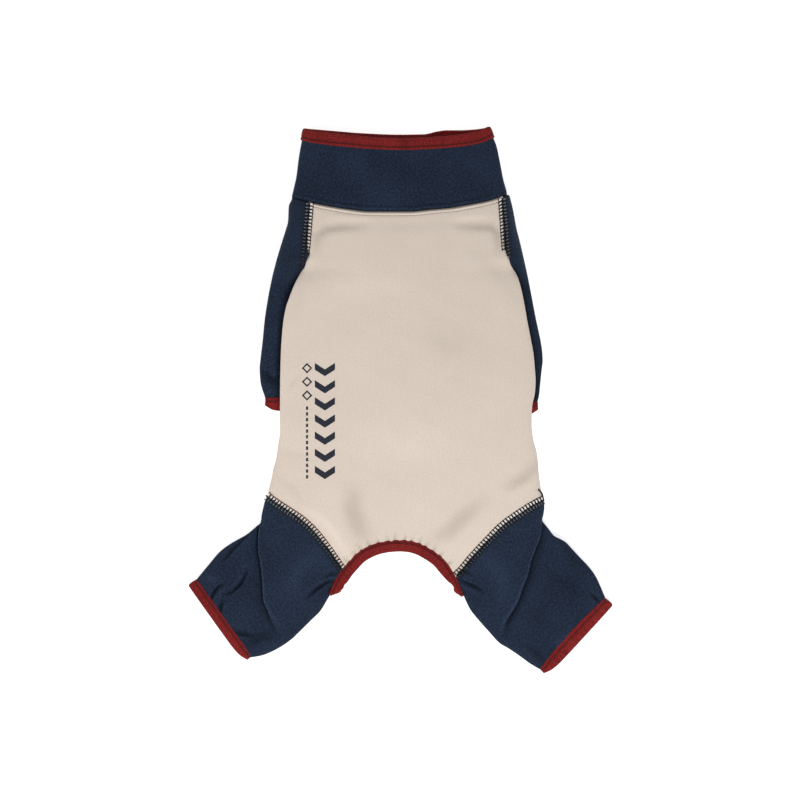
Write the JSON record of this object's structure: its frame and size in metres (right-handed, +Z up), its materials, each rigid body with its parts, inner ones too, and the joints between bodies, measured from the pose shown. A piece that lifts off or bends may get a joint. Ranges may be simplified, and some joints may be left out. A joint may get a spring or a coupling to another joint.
{
  "type": "dog jumpsuit",
  "caption": "Four-legged knitted jumpsuit for a small dog, lying flat with its back up: hollow body, collar, sleeves and hind legs, open at neck, limbs and rump.",
  "frame": {"origin": "on the surface it lies on, under the middle of the whole garment", "axes": "+Y towards the neck along the back, +Z up through the back, the garment's left side at -X"},
  "size_m": [0.3272, 0.4216, 0.025],
  "materials": {
    "cream_jersey": "soft brushed cotton jersey, matt",
    "navy_jersey": "dense cotton jersey, matt",
    "red_rib": "fine rib knit binding, matt"
  },
  "bodies": {
    "root": {"back_panel": "cream_jersey", "belly_panel": "cream_jersey", "collar": "navy_jersey", "collar_binding": "red_rib", "sleeve_left": "navy_jersey", "sleeve_cuff_left": "red_rib", "sleeve_right": "navy_jersey", "sleeve_cuff_right": "red_rib", "hind_leg_left": "navy_jersey", "hind_cuff_left": "red_rib", "hind_leg_right": "navy_jersey", "hind_cuff_right": "red_rib", "rump_binding": "red_rib"}
  },
  "joints": []
}
